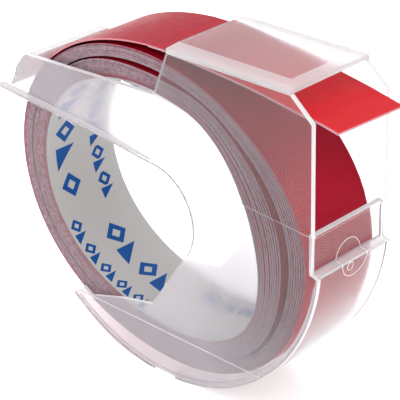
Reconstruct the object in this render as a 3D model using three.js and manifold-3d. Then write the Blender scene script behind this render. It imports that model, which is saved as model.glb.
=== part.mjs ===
// Embossing-tape cassette: a loose oval coil of red tape with a release liner, kept between the
// two side plates of a clear holder, its free end led out under a hipped lid.
// Millimetres. +X points out of the mouth, +Y to the far plate, +Z up.
// The origin is the axis of the coil at mid-width, which is also the middle of the overall box.
import * as THREE from 'three';
import { mergeVertices } from 'three/addons/utils/BufferGeometryUtils.js';
import Module from 'manifold-3d';

// ---- driving dimensions ---------------------------------------------------------------------
const TAPE_WIDTH = 12;
const TAPE_THICK = 0.22;
const LINER_THICK = 0.1;
const FIT_GAP = 0.05; // between pieces that touch on the real object

// holder
const PLATE_OUTER_Y = 7.05; // raised faces of the side plates
const WEB_OUTER_Y = 6.85; // recessed faces of the side plates
const PLATE_INNER_Y = 6.35;
const WALL_Y = PLATE_INNER_Y - FIT_GAP; // half width of the walls between the plates
const BASE_Z = 23.45; // lid top and rim bottom are this far from the coil's axis
const RIM_RADIUS = 26.5;
const RIM_CENTRE = new THREE.Vector2(1.07, 2.95);
const RIM_WALL = 0.6;
const RIM_FROM_DEG = -6;
const RIM_TO_DEG = -86;

// head and mouth
const HEAD_REAR_X = 3.87;
const CHAMFER_TOP_X = 23.37;
const FRONT_X = 26.55;
const CHAMFER_LOW_Z = 19.85;
const LID_BASE_Z = 22.65; // lower edge of the lid's skirt
const LID_EDGE_Z = 23.25; // where the skirt meets the shallow bevel
const LID_BEVEL = 2.2;
const LID_FRONT_BEVEL = 1.7;
const LID_WALL = 0.65;
const MOUTH_SILL_Z = 5.65;
const FRONT_WALL_LOW_Z = 0.6;
const FRONT_WALL = 0.6;
const SILL_RIB = 0.2;

// arms of the side plates
const ARM_TIP = new THREE.Vector2(-29.6, 9.6);
const ARM_TOP_REAR = new THREE.Vector2(-22.55, 15.65);
const HEAD_FOOT = new THREE.Vector2(1.37, 16.55);
const CUTOUT_RADIUS = 7.1;
const CUTOUT_CENTRE = new THREE.Vector2(0.15, -0.25);
const CUTOUT_END_DEG = -45;
const LOWER_ARM_CORNER = new THREE.Vector2(-0.65, -13.7);
const LOWER_STEP_Z = -16.85;
const UPPER_STEP = [new THREE.Vector2(-12, 8.45), new THREE.Vector2(31.55, 5.3)]; // line of the upper step
const END_WALL = 0.6;

// coil
const COIL_RADIUS = 23.1; // mean radius of the oval
const COIL_OVAL = 0.085;
const COIL_LONG_AXIS_DEG = 169.5;
const COIL_BULGE = 0.4; // extra on the open side, between the arms
const COIL_BULGE_DEG = 185;
const OUTER_GROUP = 1.9;
const INNER_GROUP = 2.75;
const GAP_DEPTH = 3.2; // widest space between the two groups of windings
const GAP_DEG = 8;
const GAP_HALF_DEG = 62;
const TOP_GAP_DEPTH = 0.6;
const TOP_GAP_DEG = 90;
const TOP_GAP_HALF_DEG = 36;
const LOOSE_FROM_DEG = 142;
const LOOSE_TO_DEG = 90.6;
const LOOSE_LIFT = 0.5; // how far the loose turn has risen where it leaves the coil
const TAB_X = 29.57; // free end of the tape

// ---- materials ------------------------------------------------------------------------------
const clearPlastic = new THREE.MeshStandardMaterial({
  color: 0xe9edf0, roughness: 0.18, metalness: 0, transparent: true, opacity: 0.3,
});
const redVinyl = new THREE.MeshStandardMaterial({ color: 0xc4161f, roughness: 0.32, metalness: 0 });
const releaseLiner = new THREE.MeshStandardMaterial({ color: 0xe4e1dc, roughness: 0.6, metalness: 0 });

// ---- helpers --------------------------------------------------------------------------------
const wasm = await Module();
wasm.setup();

const point = (x, z) => new THREE.Vector2(x, z);
const radians = THREE.MathUtils.degToRad;

/** Point at an angle on a circle in the XZ plane. */
function onCircle(centre, radius, degrees) {
  const angle = radians(degrees);
  return point(centre.x + radius * Math.cos(angle), centre.y + radius * Math.sin(angle));
}

/** Points of an arc in the XZ plane, both ends included. */
function arc(centre, radius, fromDeg, toDeg, steps) {
  return Array.from({ length: steps + 1 }, (_, i) =>
    onCircle(centre, radius, fromDeg + ((toDeg - fromDeg) * i) / steps));
}

/** Closed outline in XZ (with holes) pulled out along Y between two planes. */
function slab(outline, lowY, highY, holes = []) {
  const shape = new THREE.Shape(outline);
  holes.forEach((hole) => shape.holes.push(new THREE.Path(hole)));
  const geometry = new THREE.ExtrudeGeometry(shape, { depth: highY - lowY, bevelEnabled: false });
  geometry.rotateX(Math.PI / 2);
  geometry.translate(0, highY, 0);
  return geometry;
}

/** Outline of a strip: a middle line in XZ given a thickness. */
function stripOutline(line, thickness) {
  const normals = line.map((_, i) => {
    const before = line[Math.max(i - 1, 0)];
    const after = line[Math.min(i + 1, line.length - 1)];
    const along = after.clone().sub(before).normalize();
    return point(-along.y, along.x);
  });
  const left = line.map((p, i) => p.clone().addScaledVector(normals[i], thickness / 2));
  const right = line.map((p, i) => p.clone().addScaledVector(normals[i], -thickness / 2));
  return left.concat(right.reverse());
}

/** Smooth line through a few points. */
const smooth = (points, steps) => new THREE.SplineCurve(points).getPoints(steps);

function toSolid(geometry) {
  const bare = geometry.clone();
  bare.deleteAttribute('normal');
  bare.deleteAttribute('uv');
  const merged = mergeVertices(bare, 1e-5);
  return new wasm.Manifold(new wasm.Mesh({
    numProp: 3,
    vertProperties: new Float32Array(merged.attributes.position.array),
    triVerts: new Uint32Array(merged.index.array),
  }));
}

function toGeometry(solid) {
  const mesh = solid.getMesh();
  const geometry = new THREE.BufferGeometry();
  geometry.setAttribute('position', new THREE.BufferAttribute(new Float32Array(mesh.vertProperties), 3));
  geometry.setIndex(new THREE.BufferAttribute(new Uint32Array(mesh.triVerts), 1));
  return geometry;
}

function named(name, geometry, material) {
  const mesh = new THREE.Mesh(geometry, material);
  mesh.name = name;
  return mesh;
}

// ---- clear holder ---------------------------------------------------------------------------
const PLATE_TOP_Z = LID_BASE_Z - FIT_GAP;
const headRearEdge = [HEAD_FOOT, point(HEAD_REAR_X, PLATE_TOP_Z)];
const armLowerEdge = [ARM_TIP, point(-12, 8.2), point(CUTOUT_CENTRE.x, CUTOUT_CENTRE.y + CUTOUT_RADIUS)];
const lowerArmTopEdge = [LOWER_ARM_CORNER, point(-6.5, -15.05), point(-12.5, -16.95), point(-13.9, -16.1)];
const rimTipDeg = -129.2; // where the lower arm ends on the rim circle

/** The rim's lowest stretch is a short flat foot. */
const ontoFoot = (p) => point(p.x, Math.max(p.y, -BASE_Z));

/** Edge of a side plate from the lid's rear corner round the front and rim to the lower arm's tip. */
function frontAndRimEdge() {
  return [
    point(CHAMFER_TOP_X, PLATE_TOP_Z),
    point(FRONT_X, CHAMFER_LOW_Z),
    point(FRONT_X, MOUTH_SILL_Z),
    point(FRONT_X - 0.2, FRONT_WALL_LOW_Z),
    ...arc(RIM_CENTRE, RIM_RADIUS, RIM_FROM_DEG, rimTipDeg, 48).map(ontoFoot),
  ];
}

const plateOutline = [
  ...headRearEdge,
  ...frontAndRimEdge(),
  ...lowerArmTopEdge.slice().reverse(),
  ...arc(CUTOUT_CENTRE, CUTOUT_RADIUS, CUTOUT_END_DEG, 90, 16),
  ...armLowerEdge.slice(0, -1).reverse(),
  point(-25.35, 11.05),
  point(-24.2, 13.6),
  ARM_TOP_REAR,
];

/** Side plate: a thin web, with the head and arm above one step and the rim below another raised. */
function sidePlate(side) {
  const layer = (outline, innerY, outerY) =>
    toSolid(slab(outline, Math.min(side * innerY, side * outerY), Math.max(side * innerY, side * outerY)));
  const far = 60; // beyond every edge of the plate
  const upperField = [point(-far, far), point(-far, 1), ...UPPER_STEP, point(far, 2.2), point(far, far)];
  const lowerField = [
    point(-far, LOWER_STEP_Z), point(-far, -far), point(far, -far), point(far, LOWER_STEP_Z),
  ];
  const web = layer(plateOutline, PLATE_INNER_Y, WEB_OUTER_Y);
  const full = layer(plateOutline, PLATE_INNER_Y, PLATE_OUTER_Y);
  const fields = layer(upperField, 0, 20).add(layer(lowerField, 0, 20));
  return toGeometry(web.add(full.intersect(fields)));
}

/** Lid over the head: bevelled on both sides and in front, open at its rear end and below. */
function lid() {
  const across = [
    point(-PLATE_OUTER_Y, LID_BASE_Z),
    point(PLATE_OUTER_Y, LID_BASE_Z),
    point(PLATE_OUTER_Y, LID_EDGE_Z),
    point(PLATE_OUTER_Y - LID_BEVEL, BASE_Z),
    point(-PLATE_OUTER_Y + LID_BEVEL, BASE_Z),
    point(-PLATE_OUTER_Y, LID_EDGE_Z),
  ];
  const under = [
    point(-PLATE_INNER_Y, LID_BASE_Z - 1),
    point(PLATE_INNER_Y, LID_BASE_Z - 1),
    point(PLATE_INNER_Y, LID_BASE_Z),
    point(PLATE_INNER_Y - LID_WALL, BASE_Z - LID_WALL),
    point(-PLATE_INNER_Y + LID_WALL, BASE_Z - LID_WALL),
    point(-PLATE_INNER_Y, LID_BASE_Z),
  ];
  /** A section in YZ pulled out along X. */
  const along = (section, fromX, toX) => {
    const geometry = new THREE.ExtrudeGeometry(new THREE.Shape(section), {
      depth: toX - fromX, bevelEnabled: false,
    });
    geometry.applyMatrix4(new THREE.Matrix4().set(0, 0, 1, fromX, 1, 0, 0, 0, 0, 1, 0, 0, 0, 0, 0, 1));
    return geometry;
  };
  const lengthwise = [
    point(HEAD_REAR_X, LID_BASE_Z),
    point(CHAMFER_TOP_X, LID_BASE_Z),
    point(CHAMFER_TOP_X, LID_EDGE_Z),
    point(CHAMFER_TOP_X - LID_FRONT_BEVEL, BASE_Z),
    point(HEAD_REAR_X, BASE_Z),
  ];
  const outside = toSolid(along(across, HEAD_REAR_X - 1, CHAMFER_TOP_X + 1))
    .intersect(toSolid(slab(lengthwise, -20, 20)));
  return toGeometry(outside.subtract(toSolid(along(under, HEAD_REAR_X - 2, CHAMFER_TOP_X - LID_WALL))));
}

/** Upright wall below the mouth, with a rib along its top edge. */
function frontWall() {
  const inner = FRONT_X - SILL_RIB - FRONT_WALL;
  return slab([
    point(inner, FRONT_WALL_LOW_Z),
    point(FRONT_X - SILL_RIB, FRONT_WALL_LOW_Z),
    point(FRONT_X - SILL_RIB, MOUTH_SILL_Z - 2 * SILL_RIB),
    point(FRONT_X, MOUTH_SILL_Z - 2 * SILL_RIB),
    point(FRONT_X, MOUTH_SILL_Z),
    point(inner, MOUTH_SILL_Z),
  ], -WALL_Y, WALL_Y);
}

/** Curved wall that follows the coil from the front wall down to the lowest point. */
function rimWall() {
  const outer = arc(RIM_CENTRE, RIM_RADIUS - FIT_GAP, RIM_TO_DEG, RIM_FROM_DEG, 36);
  const inner = arc(RIM_CENTRE, RIM_RADIUS - RIM_WALL, RIM_FROM_DEG, RIM_TO_DEG, 36);
  return slab(outer.concat(inner), -WALL_Y, WALL_Y);
}

/** Rounded wall that joins the two upper arms at their ends. */
function armEndWall() {
  const corner = smooth([
    point(-26.3, 10.45), point(-25.15, 11.2), point(-24, 13.5), point(-22.6, 15.2), point(-20.6, 15.55),
  ], 20);
  return slab(stripOutline(corner, END_WALL), -WALL_Y, WALL_Y);
}

// ---- tape -----------------------------------------------------------------------------------
/** Raised-cosine bump around an angle, 1 in the middle and 0 from halfWidth on. */
function bump(degrees, middle, halfWidth) {
  const away = Math.abs(THREE.MathUtils.euclideanModulo(degrees - middle + 180, 360) - 180);
  return away >= halfWidth ? 0 : Math.cos((away / halfWidth) * (Math.PI / 2)) ** 2;
}

/** Radius of the coil's outer surface. */
function coilOuter(degrees) {
  const bulge = Math.max(0, Math.cos(radians(degrees - COIL_BULGE_DEG))) ** 2;
  const oval = 1 + COIL_OVAL * Math.cos(2 * radians(degrees - COIL_LONG_AXIS_DEG));
  return COIL_RADIUS * oval + COIL_BULGE * bulge;
}

/** Radius of the outside of the inner group, below the space between the groups. */
const innerGroupOuter = (degrees) => coilOuter(degrees) - OUTER_GROUP - FIT_GAP
  - GAP_DEPTH * bump(degrees, GAP_DEG, GAP_HALF_DEG)
  - TOP_GAP_DEPTH * bump(degrees, TOP_GAP_DEG, TOP_GAP_HALF_DEG);

/** Radius of the inside of the inner group, which the top space leaves unchanged. */
const innerGroupInner = (degrees) => innerGroupOuter(degrees) - INNER_GROUP
  + TOP_GAP_DEPTH * bump(degrees, TOP_GAP_DEG, TOP_GAP_HALF_DEG);

/** Radius of the outside of the liner that faces the hole. */
const linerOuter = (degrees) => innerGroupInner(degrees) - FIT_GAP;

const centre = point(0, 0);
const COIL_STEPS = 120;

/** Closed ring between two radii that vary with the angle. */
function ring(outerRadius, innerRadius) {
  const round = (radius) => Array.from({ length: COIL_STEPS }, (_, i) => {
    const degrees = (360 * i) / COIL_STEPS;
    return onCircle(centre, radius(degrees), degrees);
  });
  return slab(round(outerRadius), -TAPE_WIDTH / 2, TAPE_WIDTH / 2, [round(innerRadius)]);
}

/** Middle line of the loose outermost turn, lifting off the coil towards the lid. */
function looseLine(offset) {
  const steps = 24;
  return Array.from({ length: steps + 1 }, (_, i) => {
    const part = i / steps;
    const degrees = LOOSE_FROM_DEG + (LOOSE_TO_DEG - LOOSE_FROM_DEG) * part;
    return onCircle(centre, coilOuter(degrees) + FIT_GAP + LOOSE_LIFT * part ** 2 + offset, degrees);
  });
}

// upper surface of the free tape, from the coil's top to its end
const leaderTop = [
  point(0.1, 22.33), point(3, 22.4), point(6.1, 22.25), point(9.5, 21.95), point(16.4, 21.2),
  point(23.8, 20.25), point(26.3, 19.8), point(TAB_X, 19.05),
];

/** The free tape's middle line at a depth below its upper surface. */
const leaderLine = (depth) => smooth(leaderTop.map((p) => point(p.x, p.y - depth)), 28);

const tapeSlab = (line, thickness) => slab(stripOutline(line, thickness), -TAPE_WIDTH / 2, TAPE_WIDTH / 2);

const vinylDepth = TAPE_THICK / 2;
const linerDepth = TAPE_THICK + FIT_GAP / 2 + LINER_THICK / 2;
const looseThick = TAPE_THICK + LINER_THICK;

// ---- assembly -------------------------------------------------------------------------------
const holder = new THREE.Group();
holder.add(
  named('side_plate_near', sidePlate(-1), clearPlastic),
  named('side_plate_far', sidePlate(1), clearPlastic),
  named('lid', lid(), clearPlastic),
  named('front_wall', frontWall(), clearPlastic),
  named('rim_wall', rimWall(), clearPlastic),
  named('arm_end_wall', armEndWall(), clearPlastic),
);

const coil = new THREE.Group();
coil.add(
  named('outer_windings', ring(coilOuter, (deg) => coilOuter(deg) - OUTER_GROUP), redVinyl),
  named('inner_windings', ring(innerGroupOuter, innerGroupInner), redVinyl),
  named('core_liner', ring(linerOuter, (deg) => linerOuter(deg) - LINER_THICK), releaseLiner),
  named('loose_turn', tapeSlab(looseLine(looseThick / 2), looseThick), redVinyl),
);

const leader = new THREE.Group();
leader.add(
  named('tape_leader', tapeSlab(leaderLine(vinylDepth), TAPE_THICK), redVinyl),
  named('leader_liner', tapeSlab(leaderLine(linerDepth), LINER_THICK), releaseLiner),
);

const cassette = new THREE.Group();
cassette.add(holder, coil, leader);
export default cassette;
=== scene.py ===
# Looks of an embossing-tape cassette: a loose oval coil of glossy red tape with its release liner,
# in a thin holder of clear, slightly frosted plastic.
# Metres. +X out of the mouth, +Y to the far plate, +Z up, origin on the coil's axis at mid-width.
import math

import bpy
from mathutils import Matrix, Vector, noise


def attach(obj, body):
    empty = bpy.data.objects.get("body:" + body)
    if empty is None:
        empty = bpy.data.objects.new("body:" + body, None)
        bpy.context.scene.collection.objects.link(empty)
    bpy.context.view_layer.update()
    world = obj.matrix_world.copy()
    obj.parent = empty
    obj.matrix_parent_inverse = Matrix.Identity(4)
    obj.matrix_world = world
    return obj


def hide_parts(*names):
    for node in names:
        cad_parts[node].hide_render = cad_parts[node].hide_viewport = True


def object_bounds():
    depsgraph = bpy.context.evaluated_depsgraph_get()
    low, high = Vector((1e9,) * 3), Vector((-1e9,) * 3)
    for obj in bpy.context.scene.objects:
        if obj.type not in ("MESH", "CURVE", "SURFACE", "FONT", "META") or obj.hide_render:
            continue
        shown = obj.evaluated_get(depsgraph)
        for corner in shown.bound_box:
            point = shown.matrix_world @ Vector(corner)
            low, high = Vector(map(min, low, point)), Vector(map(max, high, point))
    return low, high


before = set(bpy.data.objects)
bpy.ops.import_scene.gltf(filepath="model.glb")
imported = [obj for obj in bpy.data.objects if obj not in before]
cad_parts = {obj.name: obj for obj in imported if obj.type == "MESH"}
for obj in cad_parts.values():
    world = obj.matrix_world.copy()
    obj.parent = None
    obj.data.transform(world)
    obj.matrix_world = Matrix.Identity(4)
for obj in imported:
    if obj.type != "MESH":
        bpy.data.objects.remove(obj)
cad_low, cad_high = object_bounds()

MM = 0.001

# ---- light -----------------------------------------------------------------------------------
HORIZON_LIGHT = 0.46
OVERHEAD_LIGHT = 1.6

# ---- finishing of the mouldings --------------------------------------------------------------
# the painted haze's depth is how far its skin lies inside the plastic
MERGE_DISTANCE = 0.002 * MM
BEVEL_FROM_ANGLE = math.radians(35)
PAINTED_HAZE_DEPTH = 0.1 * MM

# ---- sizes of the holder that the added pieces follow ----------------------------------------
# the arm's lower edge runs from its tip over a slight bend to the top of the cut-out
RIM_RADIUS = 26.5 * MM
RIM_CENTRE_X = 1.07 * MM
RIM_CENTRE_Z = 2.95 * MM
RIM_LIP_RADIUS = 26.0 * MM
RIM_LIP_LOWEST = -23.0 * MM
RIM_LIP_FROM = math.radians(-127.5)
RIM_LIP_TURN = math.radians(119)
ARM_TIP = (-29.2 * MM, 9.9 * MM)
ARM_BEND = (-12.0 * MM, 8.75 * MM)
ARM_END = (0.15 * MM, 7.4 * MM)
ARM_BEND_SHARE = 0.585
LIP_PLACE = 6.62 * MM
LIP_THICK = 0.3 * MM
ARM_LIP_WIDTH = 1.0 * MM
RIM_LIP_WIDTH = 0.45 * MM
LEDGE_PLACE = (26.52 * MM, 0, 0.36 * MM)
LEDGE_SIZE = (1.62 * MM, 12.5 * MM, 0.34 * MM)
LEDGE_EDGE = 0.05 * MM
SILL_FACE_X = 26.35 * MM
SILL_LOWEST = 0.6 * MM
RING_HEIGHT = 0.5 * MM
RING_WIRE = 0.04 * MM

# ---- sizes of the tape and of its coil, as it was wound --------------------------------------
# an oval ring in two groups of turns, which spread apart by the mouth and a little at the top
TAPE_WIDTH = 12 * MM
VINYL_THICK = 0.16 * MM
LINER_THICK = 0.06 * MM
LINER_BELOW_VINYL = 0.125 * MM
COIL_RADIUS = 23.1 * MM
COIL_OVAL = 0.085
COIL_LONG_AXIS = math.radians(169.5)
COIL_BULGE = 0.4 * MM
COIL_BULGE_AT = math.radians(185)
MOUTH_BULGE = 0.6 * MM
MOUTH_BULGE_AT = math.radians(14)
MOUTH_BULGE_HALF = math.radians(34)
OUTER_GROUP = 1.9 * MM
INNER_GROUP = 2.75 * MM
OUTER_SPREAD = 1.2 * MM
GROUP_GAP = 0.8 * MM
INNER_SPREAD = 1.2 * MM
GROUP_GAP_AT = math.radians(8)
GROUP_GAP_HALF = math.radians(62)
TOP_GAP = 0.6 * MM
TOP_GAP_AT = math.radians(90)
TOP_GAP_HALF = math.radians(36)
OUTER_TURNS = 7
INNER_TURNS = 10

# the outermost turn lifts off the coil on its way to the top, and the innermost liner has the print
LOOSE_TAPE_THICK = 0.22 * MM
FREE_TAPE_THICK = 0.2 * MM
LIFT_FROM = math.radians(142)
LIFT_TO = math.radians(90.6)
LIFT_START = 0.12 * MM
LIFT = 0.88 * MM
LIFT_POWER = 2.6
RADIUS_WANDER = 0.03 * MM
EDGE_WANDER = 0.12 * MM
LINING_THICK = 0.08 * MM
LINING_PLACE = 0.10 * MM
DEGREE_OF_LINER = 0.35

# the free end of the tape, seen from the side: its middle line from the coil's top to the tab, in mm,
# with the twist that lifts its near edge, and how much shorter its far edge is cut
LEADER_TWIST = 0.39
CUT_BACK = 0.0027
CUT_ASKEW = 0.0085
FREE_LINER_BELOW = 0.16 * MM
LEADER_LINE = (
    (-0.22, 22.28), (3.0, 22.29), (6.1, 22.14), (9.5, 21.84), (16.4, 21.17),
    (23.8, 20.08), (26.3, 19.61), (29.55, 18.98),
)


# ---- workshop helpers ------------------------------------------------------------------------
def clear_selection():
    if bpy.context.object and bpy.context.object.mode != "OBJECT":
        bpy.ops.object.mode_set(mode="OBJECT")
    bpy.ops.object.select_all(action="DESELECT")


def pick_up(piece):
    clear_selection()
    piece.select_set(True)
    bpy.context.view_layer.objects.active = piece


def finish_modifiers(piece):
    pick_up(piece)
    for modifier in list(piece.modifiers):
        bpy.ops.object.modifier_apply(modifier=modifier.name)


def smooth_faces(piece, angle=30):
    pick_up(piece)
    bpy.ops.object.shade_smooth_by_angle(angle=math.radians(angle))


def cover_with(piece, *materials):
    piece.data.materials.clear()
    for material in materials:
        piece.data.materials.append(material)


def material_by_face(piece, kind):
    for face in piece.data.polygons:
        face.material_index = kind(face)


def round_edges(piece, width):
    """Rounds the sharp edges of a moulding and lets its large flat faces set the shading."""
    bevel = piece.modifiers.new("rounded_edges", "BEVEL")
    bevel.width = width
    bevel.segments = 2
    bevel.limit_method = "ANGLE"
    bevel.angle_limit = BEVEL_FROM_ANGLE
    finish_modifiers(piece)
    smooth_faces(piece)
    weighted = piece.modifiers.new("flat_faces", "WEIGHTED_NORMAL")
    weighted.mode = "FACE_AREA"
    weighted.weight = 100
    weighted.keep_sharp = True
    finish_modifiers(piece)


def copy_of_node(node, name):
    """A separate piece with the CAD node's triangles, ready to be edited."""
    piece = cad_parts[node].copy()
    piece.data = piece.data.copy()
    piece.name = name
    bpy.context.collection.objects.link(piece)
    piece.parent = None
    piece.matrix_world = Matrix.Identity(4)
    pick_up(piece)
    bpy.ops.mesh.customdata_custom_splitnormals_clear()
    return piece


def moulded_from(node, name, edge):
    """A moulding with the CAD node's shape: its copy merged, flat faces cleaned, edges rounded."""
    piece = copy_of_node(node, name)
    bpy.ops.object.mode_set(mode="EDIT")
    bpy.ops.mesh.select_all(action="SELECT")
    bpy.ops.mesh.remove_doubles(threshold=MERGE_DISTANCE)
    bpy.ops.mesh.dissolve_limited(angle_limit=math.radians(0.5))
    bpy.ops.object.mode_set(mode="OBJECT")
    round_edges(piece, edge)
    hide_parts(node)
    return piece


# ---- materials -------------------------------------------------------------------------------
LINER_WHITE = (0.50, 0.485, 0.475, 1)
PRINT_BLUE = (0.0005, 0.07, 0.29, 1)


def blank_material(name):
    material = bpy.data.materials.new(name)
    material.use_nodes = True
    nodes = material.node_tree.nodes
    return material, nodes, material.node_tree.links, nodes["Principled BSDF"]


def mapped(nodes, links, source, low, high, new_low, new_high):
    """Stretches a value from one range to another."""
    node = nodes.new("ShaderNodeMapRange")
    node.inputs["From Min"].default_value = low
    node.inputs["From Max"].default_value = high
    node.inputs["To Min"].default_value = new_low
    node.inputs["To Max"].default_value = new_high
    links.new(source, node.inputs["Value"])
    return node.outputs["Result"]


def calculated(nodes, links, operation, first, second=None):
    """One step of arithmetic on numbers or sockets."""
    node = nodes.new("ShaderNodeMath")
    node.operation = operation
    for socket, value in zip(node.inputs, (first, second)):
        if value is None:
            continue
        if isinstance(value, (int, float)):
            socket.default_value = value
        else:
            links.new(value, socket)
    return node.outputs["Value"]


def mixed_colour(nodes, links, factor, first, second):
    node = nodes.new("ShaderNodeMix")
    node.data_type = "RGBA"
    links.new(factor, node.inputs["Factor"])
    for socket, value in ((node.inputs[6], first), (node.inputs[7], second)):
        if isinstance(value, tuple):
            socket.default_value = value
        else:
            links.new(value, socket)
    return node.outputs[2]


def blank_effect(name, inputs, output):
    """A node group with number inputs, given as name and value, and one number output."""
    effect = bpy.data.node_groups.new(name, "ShaderNodeTree")
    for title, value in inputs:
        socket = effect.interface.new_socket(title, in_out="INPUT", socket_type="NodeSocketFloat")
        socket.default_value = value
    effect.interface.new_socket(output, in_out="OUTPUT", socket_type="NodeSocketFloat")
    source = effect.nodes.new("NodeGroupInput")
    target = effect.nodes.new("NodeGroupOutput")
    return effect, source, target


def cloud_effect():
    """Soft random variation over a piece, fixed in the piece's own space."""
    effect, source, target = blank_effect("soft_cloud", (("Scale", 500.0), ("Detail", 3.0)), "Cloud")
    place = effect.nodes.new("ShaderNodeTexCoord")
    texture = effect.nodes.new("ShaderNodeTexNoise")
    effect.links.new(source.outputs["Scale"], texture.inputs["Scale"])
    effect.links.new(source.outputs["Detail"], texture.inputs["Detail"])
    effect.links.new(place.outputs["Object"], texture.inputs["Vector"])
    effect.links.new(texture.outputs["Fac"], target.inputs["Cloud"])
    return effect


def within(nodes, links, value, low, high):
    """1 where a value lies between two limits, else 0."""
    above = calculated(nodes, links, "GREATER_THAN", value, low)
    below = calculated(nodes, links, "LESS_THAN", value, high)
    return calculated(nodes, links, "MULTIPLY", above, below)


def printed_row_effect():
    """A row of plain shapes, a hollow diamond and a wedge in turn, between two places along a strip."""
    effect, source, target = blank_effect(
        "printed_row",
        (("Along", 0.0), ("Across", 0.0), ("Start", 0.0), ("End", 20.0), ("Middle", 0.0),
         ("Half Height", 1.0), ("Pitch", 2.0)), "Ink")
    nodes, links = effect.nodes, effect.links
    along, across, start, end, middle, half, pitch = source.outputs[:7]
    cell = calculated(nodes, links, "DIVIDE", calculated(nodes, links, "SUBTRACT", along, start), pitch)
    odd = calculated(nodes, links, "GREATER_THAN", calculated(nodes, links, "MODULO", cell, 2.0), 1.0)
    even = calculated(nodes, links, "SUBTRACT", 1.0, odd)
    x = calculated(nodes, links, "SUBTRACT", calculated(nodes, links, "FRACT", cell), 0.5)
    x = calculated(nodes, links, "DIVIDE", calculated(nodes, links, "MULTIPLY", x, pitch), half)
    y = calculated(nodes, links, "DIVIDE", calculated(nodes, links, "SUBTRACT", across, middle), half)
    from_middle = calculated(nodes, links, "ADD", calculated(nodes, links, "ABSOLUTE", x),
                             calculated(nodes, links, "ABSOLUTE", y))
    diamond = within(nodes, links, from_middle, 0.45, 1.05)
    wedge_half = calculated(nodes, links, "DIVIDE", calculated(nodes, links, "MULTIPLY", pitch, 0.4), half)
    leaning = calculated(nodes, links, "ADD", x, calculated(nodes, links, "MULTIPLY", y, wedge_half))
    under_slope = calculated(nodes, links, "LESS_THAN", leaning, 0.0)
    behind = calculated(nodes, links, "GREATER_THAN", calculated(nodes, links, "ADD", x, wedge_half), 0.0)
    tall = within(nodes, links, y, -1.0, 1.0)
    cell_half = calculated(nodes, links, "MULTIPLY", behind, tall)
    wedge = calculated(nodes, links, "MULTIPLY", cell_half, under_slope)
    shapes = calculated(nodes, links, "ADD", calculated(nodes, links, "MULTIPLY", diamond, even),
                        calculated(nodes, links, "MULTIPLY", wedge, odd))
    in_row = calculated(nodes, links, "MULTIPLY", calculated(nodes, links, "GREATER_THAN", along, start),
                        calculated(nodes, links, "LESS_THAN", along, end))
    ink = calculated(nodes, links, "MULTIPLY", shapes, in_row)
    links.new(ink, target.inputs["Ink"])
    return effect


def placed(nodes, effect, values):
    """Puts an effect in a material with the material's own values."""
    node = nodes.new("ShaderNodeGroup")
    node.node_tree = effect
    for title, value in values.items():
        node.inputs[title].default_value = value
    return node


SOFT_CLOUD = cloud_effect()
PRINTED_ROW = printed_row_effect()


def cloud(nodes, scale, detail):
    return placed(nodes, SOFT_CLOUD, {"Scale": scale, "Detail": detail}).outputs["Cloud"]


def holder_plastic(name, clearness, smoothest, roughest):
    """Clear moulding with a fine frosting: sharp against what it touches, hazy over what is behind."""
    material, nodes, links, surface = blank_material(name)
    surface.inputs["Base Color"].default_value = (0.985, 0.968, 0.99, 1)
    surface.inputs["IOR"].default_value = 1.33
    surface.inputs["Transmission Weight"].default_value = clearness
    haze = cloud(nodes, 260.0, 3.0)
    roughness = mapped(nodes, links, haze, 0.3, 0.7, smoothest, roughest)
    links.new(roughness, surface.inputs["Roughness"])
    return material


def highlighted_lip_plastic():
    """Milky thickened edge of the moulding, its milky white a painted highlight along the edge."""
    material, nodes, links, surface = blank_material("milky_lip_painted_highlight")
    surface.inputs["Base Color"].default_value = (0.96, 0.91, 0.94, 1)
    surface.inputs["Roughness"].default_value = 0.5
    surface.inputs["Specular IOR Level"].default_value = 0.1
    surface.inputs["Alpha"].default_value = 0.5
    return material


def arm_painted_haze():
    """Painted light: a white haze on the inner face of a side plate, laid on by place, strong on the open
    arms and none at the head.
    """
    material, nodes, links, surface = blank_material("arm_painted_haze")
    surface.inputs["Base Color"].default_value = (0.95, 0.91, 0.95, 1)
    surface.inputs["Roughness"].default_value = 0.8
    surface.inputs["Specular IOR Level"].default_value = 0.0
    place = nodes.new("ShaderNodeTexCoord")
    split = nodes.new("ShaderNodeSeparateXYZ")
    links.new(place.outputs["Object"], split.inputs["Vector"])
    along = calculated(nodes, links, "MULTIPLY", split.outputs["X"], 0.8)
    upwards = calculated(nodes, links, "MULTIPLY", split.outputs["Z"], 0.6)
    towards_head = calculated(nodes, links, "ADD", along, upwards)
    # painted light: the haze fades out from the arm tips to the head
    cover = mapped(nodes, links, towards_head, -4 * MM, 15 * MM, 0.48, 0.0)
    links.new(cover, surface.inputs["Alpha"])
    return material


def red_vinyl():
    """Glossy red, painted darker on the wound turns as painted shade and brighter on the free end as
    painted light, changing gradually where the free end leaves the coil.
    """
    material, nodes, links, surface = blank_material("red_vinyl")
    grain = cloud(nodes, 900.0, 4.0)
    # painted shade: the wound turns get a darker red, the free end a brighter, lit red
    shaded_wound_red = mixed_colour(nodes, links, grain, (0.33, 0.0005, 0.013, 1), (0.41, 0.002, 0.019, 1))
    lit_free_red = mixed_colour(nodes, links, grain, (0.55, 0.0005, 0.006, 1), (0.61, 0.001, 0.010, 1))
    painted_light_share = nodes.new("ShaderNodeAttribute")
    painted_light_share.attribute_name = "painted_light_share"
    colour = mixed_colour(nodes, links, painted_light_share.outputs["Fac"], shaded_wound_red, lit_free_red)
    links.new(colour, surface.inputs["Base Color"])
    links.new(mapped(nodes, links, grain, 0.3, 0.7, 0.30, 0.42), surface.inputs["Roughness"])
    surface.inputs["Specular IOR Level"].default_value = 0.12
    return material


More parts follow.
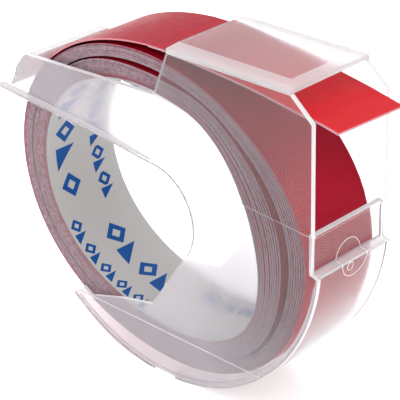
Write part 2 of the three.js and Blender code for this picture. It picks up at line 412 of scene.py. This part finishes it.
def wound_edges():
    """Slit edges of the wound tape: dull mauve with dusty streaks, redder at the first and last turns."""
    material, nodes, links, surface = blank_material("wound_edges")
    surface.inputs["Roughness"].default_value = 0.6
    dust = mapped(nodes, links, cloud(nodes, 2600.0, 4.0), 0.35, 0.65, 0.0, 1.0)
    dusty = mixed_colour(nodes, links, dust, (0.20, 0.115, 0.14, 1), (0.34, 0.235, 0.275, 1))
    winding = nodes.new("ShaderNodeUVMap")
    winding.uv_map = "winding"
    split = nodes.new("ShaderNodeSeparateXYZ")
    links.new(winding.outputs["UV"], split.inputs["Vector"])
    off_middle = calculated(nodes, links, "SUBTRACT", split.outputs["X"], 0.5)
    from_middle = calculated(nodes, links, "ABSOLUTE", off_middle)
    redder = mapped(nodes, links, from_middle, 0.36, 0.5, 0.0, 0.85)
    colour = mixed_colour(nodes, links, redder, dusty, (0.30, 0.045, 0.07, 1))
    links.new(colour, surface.inputs["Base Color"])
    return material


def painted_highlight_edge():
    """Edge of the free tape and of the lifting turn, painted a light pink as a painted highlight along the
    edge.
    """
    material, nodes, links, surface = blank_material("free_tape_edge_painted_highlight")
    # painted highlight: light pink edge colour
    surface.inputs["Base Color"].default_value = (0.62, 0.19, 0.24, 1)
    surface.inputs["Roughness"].default_value = 0.5
    return material


def liner_paper():
    """Plain side of the release liner, a warm white."""
    material, nodes, links, surface = blank_material("release_liner")
    surface.inputs["Base Color"].default_value = LINER_WHITE
    surface.inputs["Roughness"].default_value = 0.4
    return material


# each printed row's values, in millimetres along and across the liner
ROW_VALUES = ("Start", "End", "Middle", "Half Height", "Pitch")
PRINTED_ROWS = (
    (49.5, 69.0, -2.8, 1.65, 3.9),
    (52.0, 71.0, 2.9, 1.15, 1.9),
    (71.6, 90.6, -4.7, 1.0, 1.9),
    (74.0, 89.6, 0.4, 1.75, 3.9),
    (24.0, 43.5, 0.4, 1.75, 3.9),
    (94.0, 113.0, 2.9, 1.15, 1.9),
)


def printed_liner():
    """Release liner with rows of plain blue shapes."""
    material, nodes, links, surface = blank_material("printed_liner")
    surface.inputs["Roughness"].default_value = 0.5
    surface.inputs["Specular IOR Level"].default_value = 0.15
    place = nodes.new("ShaderNodeUVMap")
    place.uv_map = "winding"
    split = nodes.new("ShaderNodeSeparateXYZ")
    links.new(place.outputs["UV"], split.inputs["Vector"])
    ink = None
    for values in PRINTED_ROWS:
        row = placed(nodes, PRINTED_ROW, dict(zip(ROW_VALUES, values)))
        links.new(split.outputs["X"], row.inputs["Along"])
        links.new(split.outputs["Y"], row.inputs["Across"])
        shapes = row.outputs["Ink"]
        ink = shapes if ink is None else calculated(nodes, links, "MAXIMUM", ink, shapes)
    colour = mixed_colour(nodes, links, ink, LINER_WHITE, PRINT_BLUE)
    links.new(colour, surface.inputs["Base Color"])
    return material


def arm_painted_haze_skin(name, side):
    """The broad inner face of a side plate as a thin skin just inside the plastic, which carries the
    painted haze.
    """
    plate = "side_plate_near" if side < 0 else "side_plate_far"
    skin = copy_of_node(plate, name)
    bpy.ops.object.mode_set(mode="EDIT")
    bpy.ops.mesh.select_mode(type="FACE")
    bpy.ops.mesh.select_all(action="DESELECT")
    bpy.ops.object.mode_set(mode="OBJECT")
    for face in skin.data.polygons:
        face.select = face.normal.y * -side < 0.99
    bpy.ops.object.mode_set(mode="EDIT")
    bpy.ops.mesh.delete(type="FACE")
    bpy.ops.mesh.select_all(action="SELECT")
    bpy.ops.mesh.remove_doubles(threshold=MERGE_DISTANCE)
    bpy.ops.transform.translate(value=(0, side * PAINTED_HAZE_DEPTH, 0))
    bpy.ops.object.mode_set(mode="OBJECT")
    return skin


def arm_lower_edge(part):
    """Lower edge of the arm, from its tip to the top of the cut-out."""
    tip, bend, end = Vector(ARM_TIP), Vector(ARM_BEND), Vector(ARM_END)
    if part < ARM_BEND_SHARE:
        return tip.lerp(bend, part / ARM_BEND_SHARE)
    return bend.lerp(end, (part - ARM_BEND_SHARE) / (1 - ARM_BEND_SHARE))


def rim_edge(part):
    """Rim edge, from the lower arm's tip round to the sill."""
    angle = RIM_LIP_FROM + RIM_LIP_TURN * part
    height = RIM_CENTRE_Z + RIM_LIP_RADIUS * math.sin(angle)
    return Vector((RIM_CENTRE_X + RIM_LIP_RADIUS * math.cos(angle), max(height, RIM_LIP_LOWEST)))


def edge_lip(name, side, line, width, steps):
    """Milky strip inside a plate along one of its edges, narrowing towards its last end: a thickened lip
    whose white is a painted highlight of the edge.
    """
    bpy.ops.mesh.primitive_grid_add(x_subdivisions=steps, y_subdivisions=1, size=2)
    lip = bpy.context.object
    lip.name = name
    for vertex in lip.data.vertices:
        part = (vertex.co.x + 1) / 2
        here = line(part)
        ahead = (line(min(part + 0.01, 1)) - line(max(part - 0.01, 0))).normalized()
        taper = min(1.0, (1.05 - part) / 0.3)
        offset = Vector((-ahead.y, ahead.x)) * vertex.co.y * width / 2 * taper
        vertex.co = (here.x + offset.x, side * LIP_PLACE, here.y + offset.y)
    body = lip.modifiers.new("thickness", "SOLIDIFY")
    body.thickness = LIP_THICK
    body.offset = 0
    finish_modifiers(lip)
    return lip


def sill_ledge():
    """Small ledge that closes the step where the curved rim begins, below the front wall."""
    bpy.ops.mesh.primitive_cube_add(size=1, location=LEDGE_PLACE)
    ledge = bpy.context.object
    ledge.name = "sill_ledge"
    ledge.scale = LEDGE_SIZE
    pick_up(ledge)
    bpy.ops.object.transform_apply(location=True, rotation=True, scale=True)
    round_edges(ledge, LEDGE_EDGE)
    return ledge


def moulded_ring(name, radius, aside, drop):
    """Fine raised circle left by the mould, laid on the front wall and the curved rim wall."""
    bpy.ops.mesh.primitive_torus_add(
        major_radius=radius, minor_radius=RING_WIRE, major_segments=64, minor_segments=8,
        location=(0, aside, RING_HEIGHT + drop), rotation=(0, math.radians(90), 0))
    ring = bpy.context.object
    ring.name = name
    pick_up(ring)
    bpy.ops.object.transform_apply(location=True, rotation=True, scale=True)
    for vertex in ring.data.vertices:
        across_rim = math.sqrt(RIM_RADIUS ** 2 - (vertex.co.z - RIM_CENTRE_Z) ** 2)
        vertex.co.x += SILL_FACE_X if vertex.co.z > SILL_LOWEST else RIM_CENTRE_X + across_rim
    smooth_faces(ring, 60)
    return ring


# ---- winding the tape ------------------------------------------------------------------------
def bump_at(angle, middle, half):
    """A smooth rise round the coil: 1 at its middle, 0 from its half width on."""
    away = abs((angle - middle + math.pi) % (2 * math.pi) - math.pi)
    return 0.0 if away >= half else math.cos(away / half * math.pi / 2) ** 2


def mouth_bulge(angle):
    """How far the slack turns push the coil out towards the front wall."""
    return MOUTH_BULGE * bump_at(angle, MOUTH_BULGE_AT, MOUTH_BULGE_HALF)


def coil_outside(angle):
    bulge = max(0.0, math.cos(angle - COIL_BULGE_AT)) ** 2
    oval = 1 + COIL_OVAL * math.cos(2 * (angle - COIL_LONG_AXIS))
    return COIL_RADIUS * oval + COIL_BULGE * bulge + mouth_bulge(angle)


def loosening(angle):
    """How slack the turns are: 1 by the mouth, 0 all round the rest."""
    return bump_at(angle, GROUP_GAP_AT, GROUP_GAP_HALF)


def outer_group_inside(angle):
    return coil_outside(angle) - OUTER_GROUP - OUTER_SPREAD * loosening(angle)


def inner_group_outside(angle):
    top_gap = TOP_GAP * bump_at(angle, TOP_GAP_AT, TOP_GAP_HALF)
    return outer_group_inside(angle) - GROUP_GAP * loosening(angle) - top_gap


def inner_group_inside(angle):
    top_gap = TOP_GAP * bump_at(angle, TOP_GAP_AT, TOP_GAP_HALF)
    spread = INNER_SPREAD * loosening(angle) + mouth_bulge(angle)
    return inner_group_outside(angle) - INNER_GROUP - spread + top_gap


def polar(radius, angle):
    return radius * math.cos(angle), radius * math.sin(angle)


def strip_of_tape(name, steps, shape, thick, materials):
    """A length of tape: a flat strip of faces laid out by shape(part, across), then given thickness.
    shape gives each point's x, y, z and its place in the strip's own map."""
    bpy.ops.mesh.primitive_grid_add(x_subdivisions=steps, y_subdivisions=2, size=2, calc_uvs=True)
    strip = bpy.context.object
    strip.name = name
    layer = strip.data.uv_layers[0]
    layer.name = "winding"
    places = []
    for vertex in strip.data.vertices:
        point, place = shape((vertex.co.x + 1) / 2, vertex.co.y)
        vertex.co = point
        places.append(place)
    for loop in strip.data.loops:
        layer.data[loop.index].uv = places[loop.vertex_index]
    cover_with(strip, *materials)
    body = strip.modifiers.new("thickness", "SOLIDIFY")
    body.thickness = thick
    body.offset = 0
    body.material_offset_rim = 1
    finish_modifiers(strip)
    smooth_faces(strip, 40)
    return strip


def wound(name, outside, inside, turns, first_place, below, thick, seed, materials):
    """A spiral of tape between two ovals, from the outside in, its edges wandering a little."""
    def shape(part, across):
        angle = LIFT_FROM + part * turns * 2 * math.pi
        depth = (part * turns + 0.5) / (turns + 1)
        radius = outside(angle) * (1 - depth) + inside(angle) * depth - below
        radius += RADIUS_WANDER * noise.noise(Vector((part * turns * 5, seed, 2.7)))
        drift = EDGE_WANDER * noise.noise(Vector((part * turns * 2.3, seed, 0.3)))
        x, z = polar(radius, angle)
        return (x, across * TAPE_WIDTH / 2 + drift, z), (first_place + part / 2, across)

    return strip_of_tape(name, int(turns * 90), shape, thick, materials)


def innermost_liner(material, edge):
    """The liner that faces the hole, mapped in millimetres along and across for its print."""
    def shape(part, across):
        angle = part * 2 * math.pi
        x, z = polar(inner_group_inside(angle) - LINING_PLACE, angle)
        place = (part * 360 * DEGREE_OF_LINER, across * TAPE_WIDTH / 2 / MM)
        return (x, across * TAPE_WIDTH / 2, z), place

    return strip_of_tape("innermost_liner", 180, shape, LINING_THICK, (material, edge))


def loose_turn(material, edge):
    """The outermost turn, which leaves the coil little by little towards the top."""
    def shape(part, across):
        angle = LIFT_FROM + (LIFT_TO - LIFT_FROM) * part
        radius = coil_outside(angle) + LIFT_START + LIFT * part ** LIFT_POWER
        x, z = polar(radius, angle)
        return (x, across * TAPE_WIDTH / 2, z), (part, across)

    return strip_of_tape("lifting_turn_of_tape", 60, shape, LOOSE_TAPE_THICK, (material, edge))


def along_line(points, part):
    """Smooth line through points of the XZ plane: the place a part of the way along it."""
    spans = len(points) - 1
    here = min(int(part * spans), spans - 1)
    t = part * spans - here
    a = Vector(points[max(here - 1, 0)])
    b = Vector(points[here])
    c = Vector(points[here + 1])
    d = Vector(points[min(here + 2, spans)])
    return 0.5 * ((2 * b) + (c - a) * t + (2 * a - 5 * b + 4 * c - d) * t ** 2
                  + (3 * b - 3 * c + d - a) * t ** 3)


def mark_painted_light_share(strip):
    """Stores how far along the free end each point is: 0 where it leaves the coil, 1 by the mouth; this
    share sets how much painted light brightens the red over the painted shade of the turns.
    """
    painted_light_share = strip.data.attributes.new("painted_light_share", "FLOAT", "POINT")
    length = LEADER_LINE[-1][0] * MM
    for vertex, value in zip(strip.data.vertices, painted_light_share.data):
        value.value = min(max(vertex.co.x / length * 1.3, 0.0), 1.0)


def free_tape(name, below, thick, materials):
    """The free end: straight out of the mouth, its cut end a little askew and twisted to the near side."""
    def shape(part, across):
        reach = part * (1 - CUT_BACK - CUT_ASKEW * (across + 1))
        x, z = along_line(LEADER_LINE, reach)
        twist = -LEADER_TWIST * across * math.sin(part * math.pi / 2) ** 2
        point = (x * MM, across * TAPE_WIDTH / 2, (z + twist) * MM - below)
        return point, (part, across)

    return strip_of_tape(name, 80, shape, thick, materials)


# ---- materials in use ------------------------------------------------------------------------
plastic = holder_plastic("clear_plastic", 0.985, 0.13, 0.20)
plastic_edge = holder_plastic("clear_plastic_edge", 0.35, 0.3, 0.4)
# painted glint: the rounded corners and the moulded rings are opaque white, standing in for the bright
# lines of light along them
painted_glint_plastic = holder_plastic("white_plastic_painted_glint", 0.0, 0.4, 0.5)
frosted_band = holder_plastic("clear_plastic_band", 0.68, 0.3, 0.4)
lid_window = holder_plastic("clear_plastic_lid", 0.94, 0.16, 0.19)
painted_highlight_lip = highlighted_lip_plastic()
painted_haze = arm_painted_haze()
vinyl = red_vinyl()
edges = wound_edges()
highlighted_tape_edge = painted_highlight_edge()
paper = liner_paper()
print_paper = printed_liner()

# ---- holder ----------------------------------------------------------------------------------
HOLDER = {
    "side_plate_near": ("near_plate", 0.10 * MM),
    "side_plate_far": ("far_plate", 0.10 * MM),
    "lid": ("bevelled_lid", 0.12 * MM),
    "front_wall": ("front_sill_wall", 0.08 * MM),
    "rim_wall": ("curved_rim_wall", 0.10 * MM),
    "arm_end_wall": ("rounded_end_wall", 0.12 * MM),
}


def plate_face_kind(face):
    """Clear on the broad faces, frosted along the edges, opaque white on the rounded corners as a painted
    glint.
    """
    upright = abs(face.normal.y)
    return 0 if upright > 0.95 else 2 if upright > 0.05 else 1


FACE_KIND = {
    "side_plate_near": plate_face_kind,
    "side_plate_far": plate_face_kind,
    "front_wall": lambda face: 0 if abs(face.normal.x) > 0.95 else 1,
    "rim_wall": lambda face: 1 if abs(face.normal.y) > 0.05 else 0,
    "arm_end_wall": lambda face: 1,
}
# painted light: a white haze skin inside each side plate, strong on the arms
for side, name in ((-1, "near"), (1, "far")):
    haze = arm_painted_haze_skin(name + "_arm_painted_haze_skin", side)
    cover_with(haze, painted_haze)
    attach(haze, "holder")

for node, (name, width) in HOLDER.items():
    moulding = moulded_from(node, name, width)
    if node == "lid":
        cover_with(moulding, lid_window, frosted_band)
        material_by_face(moulding, lambda face: 1 if abs(face.normal.z) < 0.9995 else 0)
    else:
        cover_with(moulding, plastic, plastic_edge, painted_glint_plastic)
        material_by_face(moulding, FACE_KIND[node])
    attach(moulding, "holder")

# thickened lips along the plate edges, their milky white a painted highlight
for side, name in ((-1, "near"), (1, "far")):
    for lip in (edge_lip(name + "_arm_lip", side, arm_lower_edge, ARM_LIP_WIDTH, 60),
                edge_lip(name + "_rim_lip", side, rim_edge, RIM_LIP_WIDTH, 110)):
        cover_with(lip, painted_highlight_lip)
        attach(lip, "holder")

ADDED_TO_FRONT = (
    # painted highlight: the ledge wears the milky lip plastic
    (sill_ledge(), painted_highlight_lip),
    # painted glint: the moulded rings are opaque white plastic
    (moulded_ring("moulded_ring", 2.3 * MM, 0.0, 0.0), painted_glint_plastic),
    (moulded_ring("moulded_small_ring", 0.55 * MM, -0.8 * MM, -0.75 * MM), painted_glint_plastic),
)
for extra, finish in ADDED_TO_FRONT:
    cover_with(extra, finish)
    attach(extra, "holder")

# ---- coil ------------------------------------------------------------------------------------
GROUPS = (
    ("outer", coil_outside, outer_group_inside, OUTER_TURNS, 0.0, "outer_windings", 1.0),
    ("inner", inner_group_outside, inner_group_inside, INNER_TURNS, 0.5, "inner_windings", 5.0),
)
for group, outside, inside, turns, first_place, node, seed in GROUPS:
    tape = wound(group + "_turns_of_tape", outside, inside, turns, first_place, 0, VINYL_THICK, seed,
                 (vinyl, edges))
    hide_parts(node)
    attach(tape, "coil")
    backing = wound(group + "_turns_of_liner", outside, inside, turns, first_place, LINER_BELOW_VINYL,
                    LINER_THICK, seed, (paper, edges))
    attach(backing, "coil")

lining = innermost_liner(print_paper, paper)
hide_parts("core_liner")
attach(lining, "coil")

lifting = loose_turn(vinyl, highlighted_tape_edge)
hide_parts("loose_turn")
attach(lifting, "coil")

# ---- free end --------------------------------------------------------------------------------
leader = free_tape("free_end_of_tape", 0, FREE_TAPE_THICK, (vinyl, highlighted_tape_edge))
# painted light: brightens the free end's red away from the painted shade of the turns
mark_painted_light_share(leader)
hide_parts("tape_leader")
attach(leader, "leader")
leader_liner = free_tape("free_end_of_liner", FREE_LINER_BELOW, LINING_THICK, (paper, paper))
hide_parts("leader_liner")
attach(leader_liner, "leader")


# ---- floor, light and camera -----------------------------------------------------------------
def make_floor():
    bpy.ops.mesh.primitive_plane_add(size=6, location=(0, 0, cad_low.z))
    floor = bpy.context.object
    floor.name = "floor"
    material, nodes, links, surface = blank_material("pale_floor")
    surface.inputs["Base Color"].default_value = (0.9, 0.9, 0.9, 1)
    surface.inputs["Roughness"].default_value = 0.9
    surface.inputs["Specular IOR Level"].default_value = 0.0
    surface.inputs["Emission Color"].default_value = (1, 1, 1, 1)
    surface.inputs["Emission Strength"].default_value = 0.5
    cover_with(floor, material)


def soft_light(name, place, size, watts):
    bpy.ops.object.light_add(type="AREA", location=place)
    light = bpy.context.object
    light.name = name
    light.data.size = size
    light.data.energy = watts
    light.rotation_mode = "QUATERNION"
    light.rotation_quaternion = (-Vector(place)).to_track_quat("-Z", "Y")


def make_world():
    world = bpy.data.worlds.new("studio")
    bpy.context.scene.world = world
    world.use_nodes = True
    nodes = world.node_tree.nodes
    links = world.node_tree.links
    place = nodes.new("ShaderNodeTexCoord")
    split = nodes.new("ShaderNodeSeparateXYZ")
    links.new(place.outputs["Generated"], split.inputs["Vector"])
    strength = mapped(nodes, links, split.outputs["Z"], -0.1, 1.0, HORIZON_LIGHT, OVERHEAD_LIGHT)
    links.new(strength, nodes["Background"].inputs["Strength"])
    nodes["Background"].inputs["Color"].default_value = (1, 1, 1, 1)


def make_camera():
    azimuth, elevation, roll = math.radians(44.83), math.radians(27.16), math.radians(-1.77)
    distance = 0.2156
    aim = Vector((0.07, 0, -1.85)) * MM
    level = Vector((math.sin(azimuth), -math.cos(azimuth), 0)) * math.cos(elevation)
    back = level + Vector((0, 0, math.sin(elevation)))
    bpy.ops.object.camera_add(location=aim + back * distance)
    camera = bpy.context.object
    camera.rotation_mode = "QUATERNION"
    upright = back.to_track_quat("Z", "Y").to_matrix()
    camera.rotation_quaternion = (upright @ Matrix.Rotation(roll, 3, "Z")).to_quaternion()
    camera.data.sensor_width = 36
    camera.data.lens = 149.94
    camera.data.shift_x = 0.026
    camera.data.shift_y = 0.0163
    camera.data.clip_start = 0.01
    bpy.context.scene.camera = camera


make_camera()
make_world()
make_floor()
soft_light("overhead_softbox", (-0.5, 0.9, 1.6), 1.6, 2.0)

bpy.context.scene.view_settings.view_transform = "Standard"
